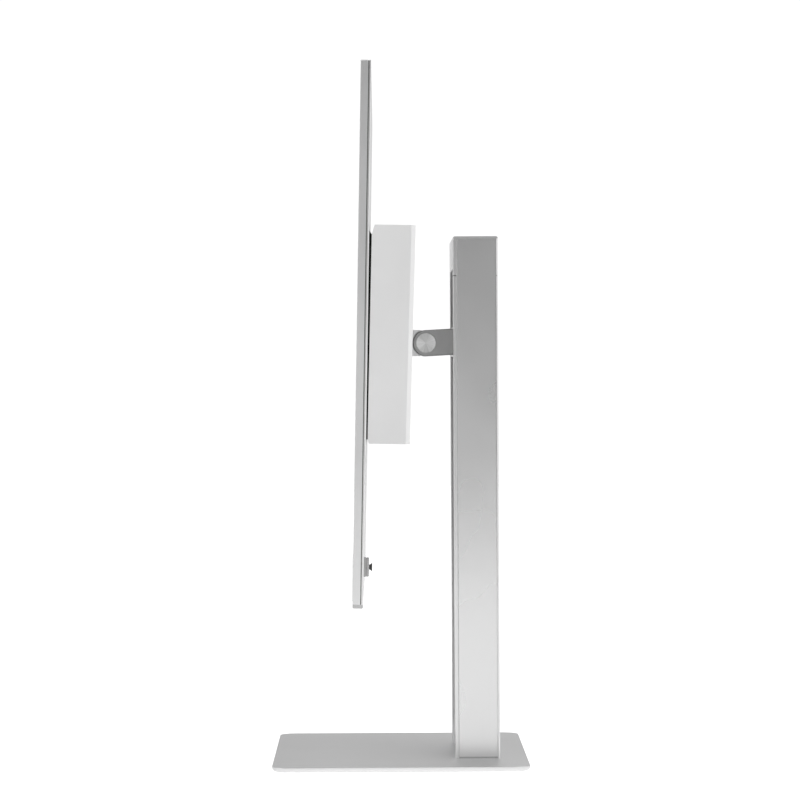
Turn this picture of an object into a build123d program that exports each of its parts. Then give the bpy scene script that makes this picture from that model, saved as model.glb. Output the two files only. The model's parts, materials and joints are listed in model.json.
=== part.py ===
"""A 27-inch class desktop monitor on a height-adjustable column stand.

Frame: +Z up, the screen faces -Y, X runs across the screen. The origin is the centre of the
base's footprint, on the surface it stands on. All sizes are in millimetres.
The head is drawn upright and then leaned back about the tilt axis to its rest position.
"""

import math
import os

from build123d import *

# ---------------------------------------------------------------- driving dimensions
FOOT_PROUD = 1.0
BASE_WIDTH, BASE_DEPTH, BASE_THICK, BASE_CORNER = 235.0, 192.0, 3.8, 12.0
BASE_UNDER_ROUND, BASE_TOP_ROUND = 3.2, 0.3
BASE_TOP = FOOT_PROUD + BASE_THICK
FOOT_RADIUS, FOOT_RECESS, FOOT_X, FOOT_Y = 8.0, 0.5, 95.0, 76.0

COLUMN_HALF, COLUMN_FRONT, COLUMN_BACK = 62.0, 41.6, 75.3
COLUMN_TOP, CAP_HEIGHT, CAP_SEAM, CAP_BEVEL = 399.6, 30.0, 0.5, 0.9
COLUMN_WALL = 2.5
COLUMN_FRONT_ROUND, COLUMN_REAR_ROUND = 0.4, 1.2
SLOT_HALF, SLOT_TOP = 42.0, 375.4
SIDE_THICK, FRONT_RAIL, REAR_RAIL, SIDE_GAP = 1.3, 2.3, 1.4, 0.35
SIDE_SUNK, SIDE_LIFT = 0.15, 1.1     # side covers: below the rails' face, and clear of the base

ROD_RADIUS, ROD_X, ROD_Y, ROD_SOCKET, ROD_END_GAP = 4.0, 34.0, 59.0, 9.0, 0.5
RUNNING_FIT = 0.05

PIVOT_Y, PIVOT_Z = 21.2, 319.2
ARM_RADIUS, ARM_HALF, CHEEK = 10.0, 30.0, 6.0
ARM_RISE = 2.9                      # degrees, the arm climbs towards the column
SHAFT_RADIUS, CAP_RADIUS, CAP_THICK = 4.0, 7.65, 1.8
M5_HOLE, M5_SHANK, M5_HEAD, M5_HEAD_HEIGHT = 2.5, 2.4, 4.5, 1.9
M4_HOLE, M4_SHANK, M4_HEAD = 2.1, 2.0, 3.5
M3_HOLE, M3_SHANK, M3_HEAD = 1.6, 1.4, 2.8

HEAD_LEAN = 1.17                    # degrees back from upright, at rest
PANEL_HALF, PANEL_BOTTOM, PANEL_TOP, PANEL_CORNER = 303.0, 134.6, 509.8, 1.2
PANEL_FRONT, PANEL_BACK = -30.35, -23.15
COVER_THICK, GROOVE_WIDTH, GROOVE_DEPTH = 1.25, 0.6, 1.2
FRAME_WALL, TRIM_HEIGHT = 1.6, 2.8
CHIN_FOOT, CHIN_TOP, CHIN_PROUD, CHIN_BACK = 139.4, 169.8, 0.5, 0.3
LIGHT_SPOT = (280.0, 149.6)         # X, Z of the power light

HOUSING_HALF, HOUSING_BOTTOM, HOUSING_TOP = 150.0, 244.1, 404.1
HOUSING_FRONT, HOUSING_WALL, HOUSING_BEVEL = -21.3, 2.0, 3.1
HOUSING_BACK_LOW, HOUSING_BACK_HIGH = 8.8, 10.7      # the rear face leans a little further back
RIM_LOW, RIM_HIGH = -22.1, -21.3                     # so does the front rim of its side walls
RIM_FOOT_CUT, RIM_HEAD_CUT = (0.9, 3.0), (2.0, 7.0)  # corner cuts at the rim's two ends: Y, Z

JOYSTICK_X, JOYSTICK_Z = 243.0, 159.7
JOYSTICK_PIVOT_Y = PANEL_BACK - 2.55

# ---------------------------------------------------------------- derived levels
CAP_BOTTOM = COLUMN_TOP - CAP_HEIGHT
CAVITY_HALF = COLUMN_HALF - SIDE_THICK - COLUMN_WALL
FIT_HALF, FIT_GAP = CAVITY_HALF - 0.5, 0.5           # blocks that slide into the column
CAVITY_FRONT, CAVITY_BACK = COLUMN_FRONT + COLUMN_WALL, COLUMN_BACK - COLUMN_WALL
SIDE_FRONT, SIDE_BACK = COLUMN_FRONT + FRONT_RAIL, COLUMN_BACK - REAR_RAIL
SIDE_TOP = COLUMN_TOP - 1.8
FOOT_BLOCK_TOP = BASE_TOP + 16.0
COVER_INNER = PANEL_BACK - COVER_THICK               # inner face of the panel's rear cover
FRAME_BACK = COVER_INNER - GROOVE_WIDTH              # back edge of the frame, before the groove
FRAME_BOTTOM = PANEL_BOTTOM + TRIM_HEIGHT
TRAY_BACK, TRAY_FRONT = COVER_INNER - 0.4, COVER_INNER - 1.1
CHASSIS_THICK, BOARD_THICK = 1.6, 1.6
CHASSIS_BACK = HOUSING_FRONT + CHASSIS_THICK
BOARD_FRONT = CHASSIS_BACK + 4.8
BOARD_BACK = BOARD_FRONT + BOARD_THICK
INNER_BACK = HOUSING_BACK_LOW - 1.3
FACE_PLATE_Y = COLUMN_FRONT + 0.4
FACE_PLATE_THICK = 2.0
ARM_BACK_Z = PIVOT_Z + (FACE_PLATE_Y - PIVOT_Y) * math.tan(math.radians(ARM_RISE))

TILT_AXIS = Axis((0, PIVOT_Y, PIVOT_Z), (-1, 0, 0))


# ---------------------------------------------------------------- helpers
def slab(x, y, z, mode=Mode.ADD):
    """A block between two limits along each axis."""
    middle = [(low + high) / 2 for low, high in (x, y, z)]
    with Locations(tuple(middle)):
        Box(x[1] - x[0], y[1] - y[0], z[1] - z[0], mode=mode)


def bar(start, direction, radius, length, mode=Mode.ADD):
    """A round bar from a start point along a direction."""
    with Locations(Plane(origin=start, z_dir=direction).location):
        Cylinder(radius, length, align=(Align.CENTER, Align.CENTER, Align.MIN), mode=mode)


def socket_screw(start, direction, head_radius, head_height, shank_radius, length):
    """A socket-head screw: the head sits at start, the shank runs along direction."""
    toward = Vector(*direction)
    bar(start, direction, head_radius, head_height)
    bar(tuple(Vector(*start) + toward * head_height), direction, shank_radius, length)
    bar(start, direction, head_radius * 0.5, head_height * 0.55, mode=Mode.SUBTRACT)


def column_outline():
    """The column's outer section with a shallow pocket down each side for the side covers."""
    with Locations((0, (COLUMN_FRONT + COLUMN_BACK) / 2)):
        Rectangle(2 * COLUMN_HALF, COLUMN_BACK - COLUMN_FRONT)
    fillet(vertices().sort_by(Axis.Y)[:2], COLUMN_FRONT_ROUND)
    fillet(vertices().sort_by(Axis.Y)[-2:], COLUMN_REAR_ROUND)
    for side in (-1, 1):
        with Locations((side * (COLUMN_HALF - SIDE_THICK / 2), (SIDE_FRONT + SIDE_BACK) / 2)):
            Rectangle(SIDE_THICK, SIDE_BACK - SIDE_FRONT, mode=Mode.SUBTRACT)


def column_cavity():
    """The column's inner section."""
    with Locations((0, (CAVITY_FRONT + CAVITY_BACK) / 2)):
        Rectangle(2 * CAVITY_HALF, CAVITY_BACK - CAVITY_FRONT, mode=Mode.SUBTRACT)


def housing_back(z):
    """Depth of the housing's slightly leaning rear face at a height."""
    climb = (z - HOUSING_BOTTOM) / (HOUSING_TOP - HOUSING_BOTTOM)
    return HOUSING_BACK_LOW + climb * (HOUSING_BACK_HIGH - HOUSING_BACK_LOW)


def finish(piece, label, head=False):
    """Name a piece, lean it back with the head if it belongs there, and write it."""
    if head:
        piece.part = piece.part.rotate(TILT_AXIS, HEAD_LEAN)
    piece.part.label = label
    export_step(piece.part, f"parts/{label}.step")


os.makedirs("parts", exist_ok=True)

# ================================================================ stand
SCREW_SPOTS = [(x, y) for x in (-48.0, 48.0) for y in (50.5, 67.5)]
FOOT_SPOTS = [(x, y) for x in (-FOOT_X, FOOT_X) for y in (-FOOT_Y, FOOT_Y)]
SCREW_SUNK = 2.2                     # depth of the recess round each base screw's head

with BuildPart() as base_plate:
    with BuildSketch(Plane.XY.offset(FOOT_PROUD)):
        RectangleRounded(BASE_WIDTH, BASE_DEPTH, BASE_CORNER)
    extrude(amount=BASE_THICK)
    fillet(base_plate.faces().sort_by(Axis.Z)[0].edges(), BASE_UNDER_ROUND)
    fillet(base_plate.faces().sort_by(Axis.Z)[-1].edges(), BASE_TOP_ROUND)
    for x, y in FOOT_SPOTS:
        bar((x, y, FOOT_PROUD), (0, 0, 1), FOOT_RADIUS + 0.2, FOOT_RECESS, mode=Mode.SUBTRACT)
    for x, y in SCREW_SPOTS:
        bar((x, y, FOOT_PROUD), (0, 0, 1), M5_HEAD + 0.3, SCREW_SUNK, mode=Mode.SUBTRACT)
        bar((x, y, FOOT_PROUD), (0, 0, 1), M5_HOLE + 0.2, BASE_THICK, mode=Mode.SUBTRACT)
finish(base_plate, "base_plate")

with BuildPart() as base_feet:
    for x, y in FOOT_SPOTS:
        bar((x, y, 0), (0, 0, 1), FOOT_RADIUS, FOOT_PROUD + FOOT_RECESS)
finish(base_feet, "base_feet")

with BuildPart() as base_screws:
    for x, y in SCREW_SPOTS:
        socket_screw((x, y, FOOT_PROUD + SCREW_SUNK - M5_HEAD_HEIGHT), (0, 0, 1),
                     M5_HEAD, M5_HEAD_HEIGHT, M5_SHANK, 14.0)
finish(base_screws, "base_screws")

with BuildPart() as column_frame:
    with BuildSketch(Plane.XY.offset(BASE_TOP)):
        column_outline()
        column_cavity()
        with Locations((0, COLUMN_FRONT + COLUMN_WALL / 2)):
            Rectangle(2 * SLOT_HALF, 2 * COLUMN_WALL, mode=Mode.SUBTRACT)
    extrude(amount=CAP_BOTTOM - BASE_TOP)
finish(column_frame, "column_frame")

with BuildPart() as column_cap:
    with BuildSketch(Plane.XY.offset(CAP_BOTTOM + CAP_SEAM)):
        column_outline()
    extrude(amount=CAP_HEIGHT - CAP_SEAM)
    with BuildSketch(Plane.XY.offset(SIDE_TOP)):
        with Locations((0, (COLUMN_FRONT + COLUMN_BACK) / 2)):
            Rectangle(2 * COLUMN_HALF, COLUMN_BACK - COLUMN_FRONT)
    extrude(amount=COLUMN_TOP - SIDE_TOP)
    chamfer(column_cap.faces().sort_by(Axis.Z)[-1].edges(), CAP_BEVEL)
    slab((-CAVITY_HALF, CAVITY_HALF), (CAVITY_FRONT, CAVITY_BACK),
         (CAP_BOTTOM, COLUMN_TOP - COLUMN_WALL), mode=Mode.SUBTRACT)
    slab((-SLOT_HALF, SLOT_HALF), (COLUMN_FRONT - 1, CAVITY_FRONT),
         (CAP_BOTTOM, SLOT_TOP), mode=Mode.SUBTRACT)
finish(column_cap, "column_cap")

for side, hand in ((1, "left"), (-1, "right")):
    inner, outer = COLUMN_HALF - SIDE_THICK, COLUMN_HALF - SIDE_SUNK
    with BuildPart() as column_side:
        slab(sorted((side * inner, side * outer)),
             (SIDE_FRONT + SIDE_GAP, SIDE_BACK - SIDE_GAP),
             (BASE_TOP + SIDE_LIFT, SIDE_TOP - SIDE_GAP))
        face = column_side.faces().sort_by(Axis.X)[-1 if side > 0 else 0]
        chamfer(face.edges(), 0.2)
    finish(column_side, f"column_side_{hand}")

with BuildPart() as column_foot:
    slab((-FIT_HALF, FIT_HALF), (CAVITY_FRONT + FIT_GAP, CAVITY_BACK - FIT_GAP),
         (BASE_TOP, FOOT_BLOCK_TOP))
    for x, y in SCREW_SPOTS:
        bar((x, y, BASE_TOP), (0, 0, 1), M5_HOLE, FOOT_BLOCK_TOP - BASE_TOP - 2, mode=Mode.SUBTRACT)
    for side in (-1, 1):
        bar((side * ROD_X, ROD_Y, FOOT_BLOCK_TOP - ROD_SOCKET), (0, 0, 1),
            ROD_RADIUS + RUNNING_FIT, ROD_SOCKET, mode=Mode.SUBTRACT)
finish(column_foot, "column_foot")

BRACKET_BOTTOM, BRACKET_TOP = 384.0, COLUMN_TOP - COLUMN_WALL
BRACKET_FRONT, BRACKET_TAIL, BRACKET_PLATE = 51.0, 350.0, 3.9
BRACKET_BACK = CAVITY_BACK - 0.1
BRACKET_SCREW_SPOTS = [(x, 358.0) for x in (-40.0, 0.0, 40.0)]
with BuildPart() as upper_bracket:
    slab((-FIT_HALF, FIT_HALF), (BRACKET_FRONT, BRACKET_BACK), (BRACKET_BOTTOM, BRACKET_TOP))
    slab((-FIT_HALF, FIT_HALF), (BRACKET_BACK - BRACKET_PLATE, BRACKET_BACK),
         (BRACKET_TAIL, BRACKET_BOTTOM))
    for side in (-1, 1):
        bar((side * ROD_X, ROD_Y, BRACKET_BOTTOM), (0, 0, 1), ROD_RADIUS + RUNNING_FIT, ROD_SOCKET,
            mode=Mode.SUBTRACT)
    for x, z in BRACKET_SCREW_SPOTS:
        bar((x, BRACKET_BACK - BRACKET_PLATE, z), (0, 1, 0), M4_HOLE, BRACKET_PLATE,
            mode=Mode.SUBTRACT)
finish(upper_bracket, "upper_bracket")

with BuildPart() as bracket_screws:
    for x, z in BRACKET_SCREW_SPOTS:
        socket_screw((x, BRACKET_BACK - BRACKET_PLATE - 1.8, z), (0, 1, 0), M4_HEAD, 1.8,
                     M4_SHANK, BRACKET_PLATE)
finish(bracket_screws, "bracket_screws")

ROD_LOW = FOOT_BLOCK_TOP - ROD_SOCKET + ROD_END_GAP
ROD_HIGH = BRACKET_BOTTOM + ROD_SOCKET - ROD_END_GAP
with BuildPart() as guide_rods:
    for side in (-1, 1):
        bar((side * ROD_X, ROD_Y, ROD_LOW), (0, 0, 1), ROD_RADIUS, ROD_HIGH - ROD_LOW)
    chamfer(guide_rods.edges().filter_by(GeomType.CIRCLE), 0.4)
finish(guide_rods, "guide_rods")

CYLINDER_TOP, CYLINDER_WALL, CYLINDER_RADIUS = 190.0, 2.0, 8.0
CYLINDER_FLOOR, CYLINDER_HEAD = 3.0, 4.0
PUSH_ROD_RADIUS = 3.0
with BuildPart() as gas_spring_cylinder:
    bar((0, ROD_Y, FOOT_BLOCK_TOP), (0, 0, 1), CYLINDER_RADIUS, CYLINDER_TOP - FOOT_BLOCK_TOP)
    bar((0, ROD_Y, FOOT_BLOCK_TOP + CYLINDER_FLOOR), (0, 0, 1), CYLINDER_RADIUS - CYLINDER_WALL,
        CYLINDER_TOP - CYLINDER_HEAD - FOOT_BLOCK_TOP - CYLINDER_FLOOR, mode=Mode.SUBTRACT)
    bar((0, ROD_Y, CYLINDER_TOP - CYLINDER_HEAD), (0, 0, 1), PUSH_ROD_RADIUS + 0.08, CYLINDER_HEAD,
        mode=Mode.SUBTRACT)
finish(gas_spring_cylinder, "gas_spring_cylinder")

COLLAR_BOTTOM, COLLAR_RADIUS, COLLAR_HEIGHT = 184.0, 7.0, 11.0
with BuildPart() as stop_collars:
    for side in (-1, 1):
        foot = (side * ROD_X, ROD_Y, COLLAR_BOTTOM)
        bar(foot, (0, 0, 1), COLLAR_RADIUS, COLLAR_HEIGHT)
        bar(foot, (0, 0, 1), ROD_RADIUS + RUNNING_FIT, COLLAR_HEIGHT, mode=Mode.SUBTRACT)
finish(stop_collars, "stop_collars")

# ================================================================ carriage and arm
CARRIAGE_BOTTOM, CARRIAGE_TOP = 296.0, 346.0
CARRIAGE_FRONT = FACE_PLATE_Y + FACE_PLATE_THICK
ARM_SCREW_SPOTS = [(x, ARM_BACK_Z + z) for x in (-14.0, 14.0) for z in (-4.8, 4.8)]
BUSH_RADIUS, BUSH_LENGTH = 6.5, 16.0
BLOCK_HALF, BLOCK_FRONT, BLOCK_BACK = 46.0, CAVITY_FRONT + 0.8, 65.6
ROD_END_DEPTH = 8.0                  # depth of the push rod's blind hole in the carriage
SADDLE_HALF_X, SADDLE_HALF_Z = 34.0, 10.0

with BuildPart() as carriage_block:
    slab((-BLOCK_HALF, BLOCK_HALF), (BLOCK_FRONT, BLOCK_BACK), (CARRIAGE_BOTTOM, CARRIAGE_TOP))
    slab((-SADDLE_HALF_X, SADDLE_HALF_X), (CARRIAGE_FRONT, BLOCK_FRONT),
         (ARM_BACK_Z - SADDLE_HALF_Z, ARM_BACK_Z + SADDLE_HALF_Z))
    chamfer(carriage_block.edges().filter_by(Axis.Z).sort_by(Axis.Y)[-2:], 2.0)
    for side in (-1, 1):
        bar((side * ROD_X, ROD_Y, CARRIAGE_BOTTOM), (0, 0, 1), BUSH_RADIUS + 0.02,
            CARRIAGE_TOP - CARRIAGE_BOTTOM, mode=Mode.SUBTRACT)
    for x, z in ARM_SCREW_SPOTS:
        bar((x, CARRIAGE_FRONT, z), (0, 1, 0), M5_HOLE, 15.0, mode=Mode.SUBTRACT)
    bar((0, ROD_Y, CARRIAGE_BOTTOM), (0, 0, 1), PUSH_ROD_RADIUS + 0.05, ROD_END_DEPTH,
        mode=Mode.SUBTRACT)
finish(carriage_block, "carriage_block")

with BuildPart() as slide_bushes:
    for side in (-1, 1):
        for low in (CARRIAGE_BOTTOM, CARRIAGE_TOP - BUSH_LENGTH):
            bar((side * ROD_X, ROD_Y, low), (0, 0, 1), BUSH_RADIUS, BUSH_LENGTH)
            bar((side * ROD_X, ROD_Y, low), (0, 0, 1), ROD_RADIUS + RUNNING_FIT, BUSH_LENGTH,
                mode=Mode.SUBTRACT)
finish(slide_bushes, "slide_bushes")

FACE_HALF_X, FACE_HALF_Z = SLOT_HALF - 1.0, 11.3
with BuildPart() as carriage_face:
    slab((-FACE_HALF_X, FACE_HALF_X), (FACE_PLATE_Y, CARRIAGE_FRONT),
         (ARM_BACK_Z - FACE_HALF_Z, ARM_BACK_Z + FACE_HALF_Z))
    chamfer(carriage_face.faces().sort_by(Axis.Y)[0].edges(), 0.4)
    for x, z in ARM_SCREW_SPOTS:
        bar((x, FACE_PLATE_Y, z), (0, 1, 0), M5_HOLE + 0.1, FACE_PLATE_THICK, mode=Mode.SUBTRACT)
finish(carriage_face, "carriage_face")

PUSH_ROD_BOTTOM, PISTON_BOTTOM, PISTON_THICK = 143.0, 144.0, 5.0
with BuildPart() as gas_spring_rod:
    bar((0, ROD_Y, PUSH_ROD_BOTTOM), (0, 0, 1), PUSH_ROD_RADIUS,
        CARRIAGE_BOTTOM + ROD_END_DEPTH - 0.5 - PUSH_ROD_BOTTOM)
finish(gas_spring_rod, "gas_spring_rod")

with BuildPart() as gas_spring_piston:
    bar((0, ROD_Y, PISTON_BOTTOM), (0, 0, 1), CYLINDER_RADIUS - CYLINDER_WALL - 0.3, PISTON_THICK)
    bar((0, ROD_Y, PISTON_BOTTOM), (0, 0, 1), PUSH_ROD_RADIUS, PISTON_THICK, mode=Mode.SUBTRACT)
finish(gas_spring_piston, "gas_spring_piston")

WEB_THICK = 6.0
WEB_FRONT = FACE_PLATE_Y - WEB_THICK
arm_slope = math.radians(ARM_RISE)
root_half = ARM_RADIUS / math.cos(arm_slope)
touch_y, touch_z = ARM_RADIUS * math.sin(arm_slope), ARM_RADIUS * math.cos(arm_slope)
with BuildPart() as tilt_arm:
    with BuildSketch(Plane.YZ.offset(-ARM_HALF)):
        with Locations((PIVOT_Y, PIVOT_Z)):
            Circle(ARM_RADIUS)
        with BuildLine():
            Polyline((PIVOT_Y - touch_y, PIVOT_Z + touch_z), (FACE_PLATE_Y, ARM_BACK_Z + root_half),
                     (FACE_PLATE_Y, ARM_BACK_Z - root_half), (PIVOT_Y + touch_y, PIVOT_Z - touch_z),
                     close=True)
        make_face()
    extrude(amount=2 * ARM_HALF)
    for outer_face in (tilt_arm.faces().sort_by(Axis.X)[0], tilt_arm.faces().sort_by(Axis.X)[-1]):
        chamfer(outer_face.edges().filter_by(lambda edge: edge.center().Y < FACE_PLATE_Y - 1), 0.6)
    slab((-ARM_HALF + CHEEK, ARM_HALF - CHEEK), (PIVOT_Y - 2 * ARM_RADIUS, WEB_FRONT),
         (PIVOT_Z - 2 * ARM_RADIUS, PIVOT_Z + 2 * ARM_RADIUS), mode=Mode.SUBTRACT)
    bar((-ARM_HALF, PIVOT_Y, PIVOT_Z), (1, 0, 0), SHAFT_RADIUS + RUNNING_FIT, 2 * ARM_HALF,
        mode=Mode.SUBTRACT)
    for x, z in ARM_SCREW_SPOTS:
        bar((x, WEB_FRONT, z), (0, 1, 0), M5_HOLE + 0.1, WEB_THICK, mode=Mode.SUBTRACT)
finish(tilt_arm, "tilt_arm")

with BuildPart() as arm_screws:
    for x, z in ARM_SCREW_SPOTS:
        socket_screw((x, WEB_FRONT - 3.0, z), (0, 1, 0), 4.0, 3.0, M5_SHANK, 22.0)
finish(arm_screws, "arm_screws")

with BuildPart() as pivot_shaft:
    bar((-ARM_HALF, PIVOT_Y, PIVOT_Z), (1, 0, 0), SHAFT_RADIUS, 2 * ARM_HALF)
finish(pivot_shaft, "pivot_shaft")

with BuildPart() as pivot_caps:
    for side in (-1, 1):
        bar((side * ARM_HALF, PIVOT_Y, PIVOT_Z), (side, 0, 0), CAP_RADIUS, CAP_THICK)
    outer_rims = pivot_caps.edges().filter_by(GeomType.CIRCLE).filter_by(
        lambda edge: abs(edge.center().X) > ARM_HALF + CAP_THICK / 2)
    chamfer(outer_rims, 0.35)
finish(pivot_caps, "pivot_caps")

KNUCKLE_HALF = ARM_HALF - CHEEK - 1.0
WASHER_RADIUS, WASHER_THICK = 8.0, 0.8
with BuildPart() as friction_washers:
    for side in (-1, 1):
        start = (side * (KNUCKLE_HALF + 0.1), PIVOT_Y, PIVOT_Z)
        bar(start, (side, 0, 0), WASHER_RADIUS, WASHER_THICK)
        bar(start, (side, 0, 0), SHAFT_RADIUS + 0.1, WASHER_THICK, mode=Mode.SUBTRACT)
finish(friction_washers, "friction_washers")

# ================================================================ head: display panel
CELL_FRONT, CELL_BACK = PANEL_FRONT + 0.1, PANEL_FRONT + 1.4
LIGHT_BOTTOM, LIGHT_TOP = CHIN_TOP + 5.6, PANEL_TOP - 3.6
CHASSIS_SCREW_SPOTS = [(x, HOUSING_TOP - 13.5) for x in (-100.0, 0.0, 100.0)]
CHASSIS_SCREW_SPOTS += [(x, HOUSING_BOTTOM + 10.7) for x in (-42.0, 42.0)]


def panel_outline(inset, depth_from, depth_to):
    """A slab with the panel's outline above the trim, drawn in by an inset, between two depths."""
    facing_back = Plane((0, depth_from, (PANEL_TOP + FRAME_BOTTOM) / 2), (1, 0, 0), (0, 1, 0))
    with BuildSketch(facing_back) as outline:
        Rectangle(2 * (PANEL_HALF - inset), PANEL_TOP - FRAME_BOTTOM - 2 * inset)
        if PANEL_CORNER > inset:
            fillet(vertices().sort_by(Axis.Y)[:2], PANEL_CORNER - inset)
    extrude(outline.sketch, amount=depth_to - depth_from)


with BuildPart() as panel_frame:
    panel_outline(0, PANEL_FRONT, FRAME_BACK)
    front_rim = panel_frame.faces().sort_by(Axis.Y)[0].edges()
    chamfer(front_rim, 0.25)
    opening = PANEL_HALF - FRAME_WALL
    slab((-opening, opening), (PANEL_FRONT - 1, FRAME_BACK + 1),
         (FRAME_BOTTOM + FRAME_WALL, PANEL_TOP - FRAME_WALL), mode=Mode.SUBTRACT)
    slab((-opening, opening), (PANEL_FRONT + CHIN_BACK, PANEL_FRONT + CHIN_BACK + 1.0),
         (FRAME_BOTTOM + FRAME_WALL, CHIN_TOP + 1.0))
    bar((LIGHT_SPOT[0], PANEL_FRONT, LIGHT_SPOT[1]), (0, 1, 0), 0.9, 2.0, mode=Mode.SUBTRACT)
finish(panel_frame, "panel_frame", head=True)

with BuildPart() as bottom_trim:
    slab((-PANEL_HALF, PANEL_HALF), (PANEL_FRONT, PANEL_BACK), (PANEL_BOTTOM, FRAME_BOTTOM))
    fillet(bottom_trim.faces().sort_by(Axis.Z)[0].edges(), 0.8)
finish(bottom_trim, "bottom_trim", head=True)

STRIP_HALF = PANEL_HALF - 1.0
with BuildPart() as chin_strip:
    slab((-STRIP_HALF, STRIP_HALF), (PANEL_FRONT - CHIN_PROUD, PANEL_FRONT), (CHIN_FOOT, CHIN_TOP))
    fillet(chin_strip.faces().sort_by(Axis.Y)[0].edges(), 0.8 * CHIN_PROUD)
    slab((-opening, opening), (PANEL_FRONT, PANEL_FRONT + CHIN_BACK), (CHIN_FOOT, CHIN_TOP - 0.2))
    bar((LIGHT_SPOT[0], PANEL_FRONT - 1, LIGHT_SPOT[1]), (0, 1, 0), 0.9, 2.0, mode=Mode.SUBTRACT)
finish(chin_strip, "chin_strip", head=True)

with BuildPart() as power_light:
    bar((LIGHT_SPOT[0], PANEL_FRONT - CHIN_PROUD - 0.05, LIGHT_SPOT[1]), (0, 1, 0), 0.8, 2.4)
finish(power_light, "power_light", head=True)

with BuildPart() as lcd_cell:
    slab((-301.2, 301.2), (CELL_FRONT, CELL_BACK), (CHIN_TOP + 1.2, PANEL_TOP - 1.8))
finish(lcd_cell, "lcd_cell", head=True)

with BuildPart() as optical_sheets:
    slab((-299.6, 299.6), (CELL_BACK + 0.15, CELL_BACK + 0.85), (LIGHT_BOTTOM - 2, LIGHT_TOP))
finish(optical_sheets, "optical_sheets", head=True)

with BuildPart() as light_guide:
    slab((-299, 299), (CELL_BACK + 0.9, CELL_BACK + 3.0), (LIGHT_BOTTOM, LIGHT_TOP))
finish(light_guide, "light_guide", head=True)

with BuildPart() as led_bar:
    slab((-297, 297), (CELL_BACK + 1.1, CELL_BACK + 2.8), (LIGHT_BOTTOM - 2.4, LIGHT_BOTTOM - 1.2))
    for step in range(-24, 25):
        slab((step * 12 - 2, step * 12 + 2), (CELL_BACK + 1.4, CELL_BACK + 2.5),
             (LIGHT_BOTTOM - 1.2, LIGHT_BOTTOM - 0.3))
finish(led_bar, "led_bar", head=True)

with BuildPart() as reflector_sheet:
    slab((-299, 299), (CELL_BACK + 3.1, CELL_BACK + 3.3), (LIGHT_BOTTOM, LIGHT_TOP))
finish(reflector_sheet, "reflector_sheet", head=True)

with BuildPart() as rear_tray:
    low, high, half = CHIN_TOP + 2.0, PANEL_TOP - 2.3, PANEL_HALF - 2.3
    slab((-half, half), (TRAY_FRONT, TRAY_BACK), (low, high))
    for side in (-1, 1):
        slab(sorted((side * (half - 1), side * half)), (CELL_BACK + 0.1, TRAY_FRONT), (low, high))
    slab((-half + 1, half - 1), (CELL_BACK + 0.1, TRAY_FRONT), (high - 1, high))
    slab((-half + 1, half - 1), (CELL_BACK + 0.9, TRAY_FRONT), (low, low + 1))
    for x, z in CHASSIS_SCREW_SPOTS:
        bar((x, TRAY_FRONT, z), (0, 1, 0), M3_HOLE, TRAY_BACK - TRAY_FRONT, mode=Mode.SUBTRACT)
finish(rear_tray, "rear_tray", head=True)

CABLE_SLOT_HALF, CABLE_SLOT_Z = 20.0, (252.0, 272.0)
with BuildPart() as rear_cover:
    panel_outline(0, COVER_INNER, PANEL_BACK)
    chamfer(rear_cover.faces().sort_by(Axis.Y)[-1].edges(), 0.3)
    panel_outline(GROOVE_DEPTH, FRAME_BACK, COVER_INNER)
    inner = PANEL_HALF - GROOVE_DEPTH - 0.9
    slab((-inner, inner), (FRAME_BACK, COVER_INNER),
         (FRAME_BOTTOM + GROOVE_DEPTH + 0.9, PANEL_TOP - GROOVE_DEPTH - 0.9), mode=Mode.SUBTRACT)
    slab((-CABLE_SLOT_HALF, CABLE_SLOT_HALF), (COVER_INNER, PANEL_BACK), CABLE_SLOT_Z,
         mode=Mode.SUBTRACT)
    bar((JOYSTICK_X, COVER_INNER, JOYSTICK_Z), (0, 1, 0), 5.0, COVER_THICK, mode=Mode.SUBTRACT)
    for x, z in CHASSIS_SCREW_SPOTS:
        bar((x, COVER_INNER, z), (0, 1, 0), M3_HOLE, COVER_THICK, mode=Mode.SUBTRACT)
finish(rear_cover, "rear_cover", head=True)

with BuildPart() as source_board:
    slab((-200, 200), (CELL_BACK + 0.3, CELL_BACK + 1.3), (142, 160))
    for x in (-150, -90, 90, 150):
        slab((x - 6, x + 6), (CELL_BACK + 1.3, CELL_BACK + 2.3), (146, 156))
finish(source_board, "source_board", head=True)

with BuildPart() as driver_films:
    for step in range(8):
        middle = (step - 3.5) * 48
        slab((middle - 17, middle + 17), (CELL_BACK + 0.02, CELL_BACK + 0.3), (152, CHIN_TOP + 2.8))
finish(driver_films, "driver_films", head=True)

CABLE_HALF, CABLE_THICK = 15.0, 0.24
SOURCE_BOARD_FACE = CELL_BACK + 1.3
CABLE_RUN = COVER_INNER - 0.2        # the cable lies flat between the tray and the cover
with BuildPart() as display_cable:
    with BuildSketch(Plane.YZ.offset(-CABLE_HALF)):
        with BuildLine():
            FilletPolyline((SOURCE_BOARD_FACE + 0.15, 146), (SOURCE_BOARD_FACE + 0.15, 160),
                           (CABLE_RUN, 168), (CABLE_RUN, 256), (CHASSIS_BACK + 2.2, 263),
                           (BOARD_FRONT - 0.2, 272), radius=1.5)
        trace(line_width=CABLE_THICK)
    extrude(amount=2 * CABLE_HALF)
finish(display_cable, "display_cable", head=True)

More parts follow.
